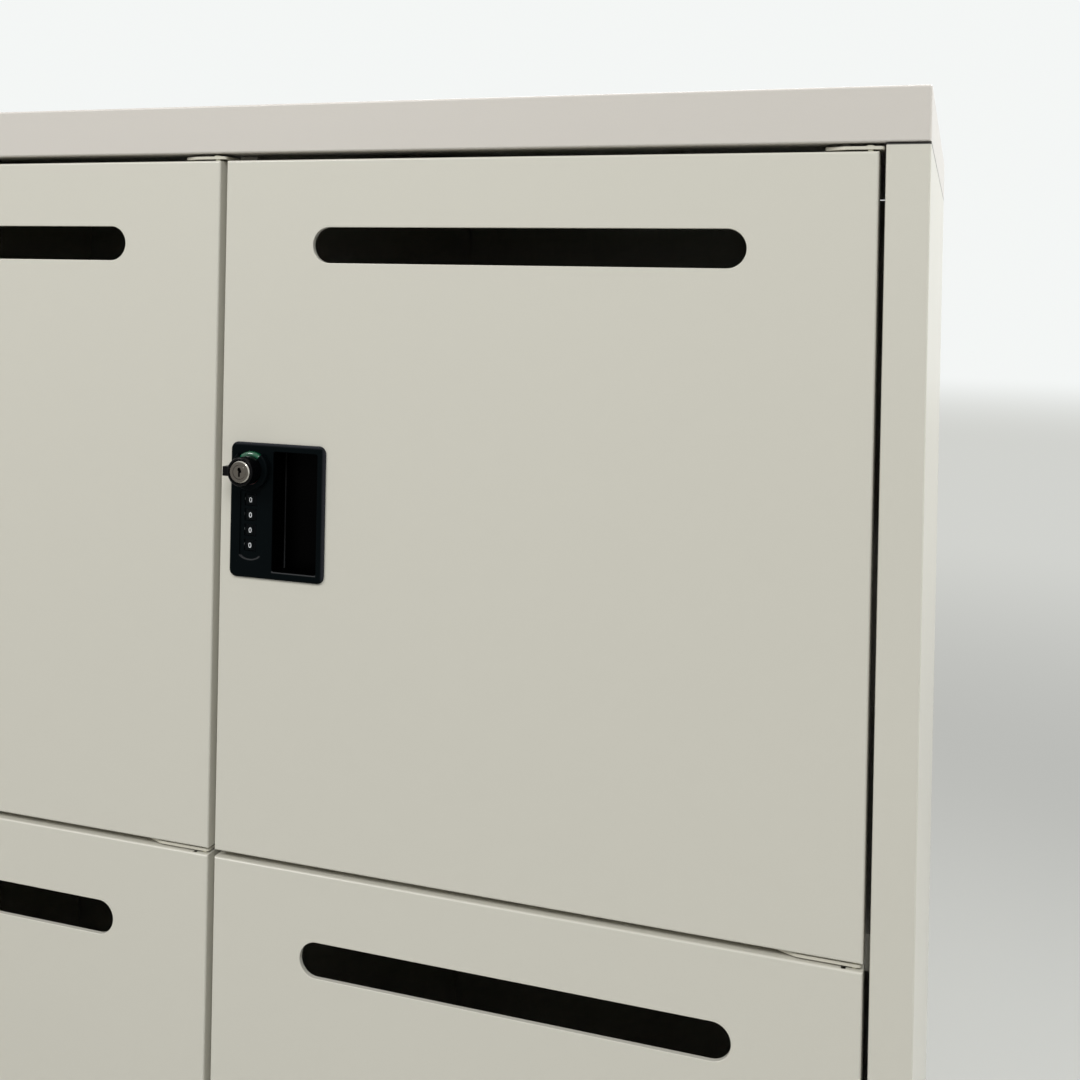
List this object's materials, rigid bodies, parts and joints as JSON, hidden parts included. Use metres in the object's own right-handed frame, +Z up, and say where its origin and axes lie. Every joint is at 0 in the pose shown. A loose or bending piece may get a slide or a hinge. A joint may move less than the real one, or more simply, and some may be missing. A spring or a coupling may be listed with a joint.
{
  "type": "parcel locker",
  "caption": "Steel parcel locker with stacked compartments, hinged doors with letter slots, and combination cam locks with a key override.",
  "frame": {"origin": "centre of the cabinet footprint, on the floor", "axes": "+X to the right of someone facing the doors, +Y from the doors to the back, +Z up"},
  "size_m": [1, 0.5202, 1.1076],
  "materials": {
    "powder_coat": "pale warm grey powder coat, fine orange peel",
    "zinc_steel": "zinc plated steel",
    "lock_plastic": "black textured plastic",
    "knob_plastic": "black satin plastic",
    "indicator": "glossy green with a red sector",
    "cylinder_metal": "satin nickel",
    "dial_plastic": "black plastic with white figures",
    "buffer_rubber": "grey rubber"
  },
  "bodies": {
    "carcass": {"top_cap": "powder_coat", "base_tray": "powder_coat", "side_panel_left": "powder_coat", "side_panel_right": "powder_coat", "back_panel": "powder_coat", "centre_partition": "powder_coat", "floor_panel": "powder_coat", "shelf_left": "powder_coat", "shelf_right": "powder_coat", "hinges": "powder_coat", "door_buffers": "buffer_rubber", "shelf_rivets": "zinc_steel"},
    "lower_left_door": {"door_lower_left": "powder_coat", "door_stiffener_lower_left": "powder_coat", "lock_housing_lower_left": "lock_plastic"},
    "lower_left_knob": {"knob_lower_left": "knob_plastic", "indicator_ring_lower_left": "indicator", "key_cylinder_lower_left": "cylinder_metal", "cam_lower_left": "zinc_steel"},
    "lower_left_key_plug": {"key_plug_lower_left": "cylinder_metal"},
    "lower_left_dial_1": {"dial_1_lower_left": "dial_plastic"},
    "lower_left_dial_2": {"dial_2_lower_left": "dial_plastic"},
    "lower_left_dial_3": {"dial_3_lower_left": "dial_plastic"},
    "lower_left_dial_4": {"dial_4_lower_left": "dial_plastic"},
    "upper_left_door": {"door_upper_left": "powder_coat", "door_stiffener_upper_left": "powder_coat", "lock_housing_upper_left": "lock_plastic"},
    "upper_left_knob": {"knob_upper_left": "knob_plastic", "indicator_ring_upper_left": "indicator", "key_cylinder_upper_left": "cylinder_metal", "cam_upper_left": "zinc_steel"},
    "upper_left_key_plug": {"key_plug_upper_left": "cylinder_metal"},
    "upper_left_dial_1": {"dial_1_upper_left": "dial_plastic"},
    "upper_left_dial_2": {"dial_2_upper_left": "dial_plastic"},
    "upper_left_dial_3": {"dial_3_upper_left": "dial_plastic"},
    "upper_left_dial_4": {"dial_4_upper_left": "dial_plastic"},
    "lower_right_door": {"door_lower_right": "powder_coat", "door_stiffener_lower_right": "powder_coat", "lock_housing_lower_right": "lock_plastic"},
    "lower_right_knob": {"knob_lower_right": "knob_plastic", "indicator_ring_lower_right": "indicator", "key_cylinder_lower_right": "cylinder_metal", "cam_lower_right": "zinc_steel"},
    "lower_right_key_plug": {"key_plug_lower_right": "cylinder_metal"},
    "lower_right_dial_1": {"dial_1_lower_right": "dial_plastic"},
    "lower_right_dial_2": {"dial_2_lower_right": "dial_plastic"},
    "lower_right_dial_3": {"dial_3_lower_right": "dial_plastic"},
    "lower_right_dial_4": {"dial_4_lower_right": "dial_plastic"},
    "upper_right_door": {"door_upper_right": "powder_coat", "door_stiffener_upper_right": "powder_coat", "lock_housing_upper_right": "lock_plastic"},
    "upper_right_knob": {"knob_upper_right": "knob_plastic", "indicator_ring_upper_right": "indicator", "key_cylinder_upper_right": "cylinder_metal", "cam_upper_right": "zinc_steel"},
    "upper_right_key_plug": {"key_plug_upper_right": "cylinder_metal"},
    "upper_right_dial_1": {"dial_1_upper_right": "dial_plastic"},
    "upper_right_dial_2": {"dial_2_upper_right": "dial_plastic"},
    "upper_right_dial_3": {"dial_3_upper_right": "dial_plastic"},
    "upper_right_dial_4": {"dial_4_upper_right": "dial_plastic"}
  },
  "joints": [
    {"name": "lower_left_door_hinge", "type": "hinge", "parent": "carcass", "child": "lower_left_door", "pos_m": [-0.0096, -0.2435, 0.0409], "axis": [0, 0, 1], "range_deg": [0, 100]},
    {"name": "lower_left_knob_turn", "type": "hinge", "parent": "lower_left_door", "child": "lower_left_knob", "pos_m": [-0.444, -0.25, 0.325], "axis": [0, 1, 0], "range_deg": [0, 90]},
    {"name": "lower_left_key_turn", "type": "hinge", "parent": "lower_left_knob", "child": "lower_left_key_plug", "pos_m": [-0.444, -0.2698, 0.325], "axis": [0, 1, 0], "range_deg": [0, 90]},
    {"name": "lower_left_dial_1_turn", "type": "hinge", "parent": "lower_left_door", "child": "lower_left_dial_1", "pos_m": [-0.445, -0.2413, 0.3024], "axis": [0, 0, 1], "continuous": true},
    {"name": "lower_left_dial_2_turn", "type": "hinge", "parent": "lower_left_door", "child": "lower_left_dial_2", "pos_m": [-0.445, -0.2413, 0.2913], "axis": [0, 0, 1], "continuous": true},
    {"name": "lower_left_dial_3_turn", "type": "hinge", "parent": "lower_left_door", "child": "lower_left_dial_3", "pos_m": [-0.445, -0.2413, 0.2802], "axis": [0, 0, 1], "continuous": true},
    {"name": "lower_left_dial_4_turn", "type": "hinge", "parent": "lower_left_door", "child": "lower_left_dial_4", "pos_m": [-0.445, -0.2413, 0.2691], "axis": [0, 0, 1], "continuous": true},
    {"name": "upper_left_door_hinge", "type": "hinge", "parent": "carcass", "child": "upper_left_door", "pos_m": [-0.0096, -0.2435, 0.5563], "axis": [0, 0, 1], "range_deg": [0, 100]},
    {"name": "upper_left_knob_turn", "type": "hinge", "parent": "upper_left_door", "child": "upper_left_knob", "pos_m": [-0.444, -0.25, 0.8404], "axis": [0, 1, 0], "range_deg": [0, 90]},
    {"name": "upper_left_key_turn", "type": "hinge", "parent": "upper_left_knob", "child": "upper_left_key_plug", "pos_m": [-0.444, -0.2698, 0.8404], "axis": [0, 1, 0], "range_deg": [0, 90]},
    {"name": "upper_left_dial_1_turn", "type": "hinge", "parent": "upper_left_door", "child": "upper_left_dial_1", "pos_m": [-0.445, -0.2413, 0.8178], "axis": [0, 0, 1], "continuous": true},
    {"name": "upper_left_dial_2_turn", "type": "hinge", "parent": "upper_left_door", "child": "upper_left_dial_2", "pos_m": [-0.445, -0.2413, 0.8067], "axis": [0, 0, 1], "continuous": true},
    {"name": "upper_left_dial_3_turn", "type": "hinge", "parent": "upper_left_door", "child": "upper_left_dial_3", "pos_m": [-0.445, -0.2413, 0.7956], "axis": [0, 0, 1], "continuous": true},
    {"name": "upper_left_dial_4_turn", "type": "hinge", "parent": "upper_left_door", "child": "upper_left_dial_4", "pos_m": [-0.445, -0.2413, 0.7845], "axis": [0, 0, 1], "continuous": true},
    {"name": "lower_right_door_hinge", "type": "hinge", "parent": "carcass", "child": "lower_right_door", "pos_m": [0.4632, -0.2435, 0.0409], "axis": [0, 0, 1], "range_deg": [0, 100]},
    {"name": "lower_right_knob_turn", "type": "hinge", "parent": "lower_right_door", "child": "lower_right_knob", "pos_m": [0.0288, -0.25, 0.325], "axis": [0, 1, 0], "range_deg": [0, 90]},
    {"name": "lower_right_key_turn", "type": "hinge", "parent": "lower_right_knob", "child": "lower_right_key_plug", "pos_m": [0.0288, -0.2698, 0.325], "axis": [0, 1, 0], "range_deg": [0, 90]},
    {"name": "lower_right_dial_1_turn", "type": "hinge", "parent": "lower_right_door", "child": "lower_right_dial_1", "pos_m": [0.0278, -0.2413, 0.3024], "axis": [0, 0, 1], "continuous": true},
    {"name": "lower_right_dial_2_turn", "type": "hinge", "parent": "lower_right_door", "child": "lower_right_dial_2", "pos_m": [0.0278, -0.2413, 0.2913], "axis": [0, 0, 1], "continuous": true},
    {"name": "lower_right_dial_3_turn", "type": "hinge", "parent": "lower_right_door", "child": "lower_right_dial_3", "pos_m": [0.0278, -0.2413, 0.2802], "axis": [0, 0, 1], "continuous": true},
    {"name": "lower_right_dial_4_turn", "type": "hinge", "parent": "lower_right_door", "child": "lower_right_dial_4", "pos_m": [0.0278, -0.2413, 0.2691], "axis": [0, 0, 1], "continuous": true},
    {"name": "upper_right_door_hinge", "type": "hinge", "parent": "carcass", "child": "upper_right_door", "pos_m": [0.4632, -0.2435, 0.5563], "axis": [0, 0, 1], "range_deg": [0, 100]},
    {"name": "upper_right_knob_turn", "type": "hinge", "parent": "upper_right_door", "child": "upper_right_knob", "pos_m": [0.0288, -0.25, 0.8404], "axis": [0, 1, 0], "range_deg": [0, 90]},
    {"name": "upper_right_key_turn", "type": "hinge", "parent": "upper_right_knob", "child": "upper_right_key_plug", "pos_m": [0.0288, -0.2698, 0.8404], "axis": [0, 1, 0], "range_deg": [0, 90]},
    {"name": "upper_right_dial_1_turn", "type": "hinge", "parent": "upper_right_door", "child": "upper_right_dial_1", "pos_m": [0.0278, -0.2413, 0.8178], "axis": [0, 0, 1], "continuous": true},
    {"name": "upper_right_dial_2_turn", "type": "hinge", "parent": "upper_right_door", "child": "upper_right_dial_2", "pos_m": [0.0278, -0.2413, 0.8067], "axis": [0, 0, 1], "continuous": true},
    {"name": "upper_right_dial_3_turn", "type": "hinge", "parent": "upper_right_door", "child": "upper_right_dial_3", "pos_m": [0.0278, -0.2413, 0.7956], "axis": [0, 0, 1], "continuous": true},
    {"name": "upper_right_dial_4_turn", "type": "hinge", "parent": "upper_right_door", "child": "upper_right_dial_4", "pos_m": [0.0278, -0.2413, 0.7845], "axis": [0, 0, 1], "continuous": true}
  ]
}
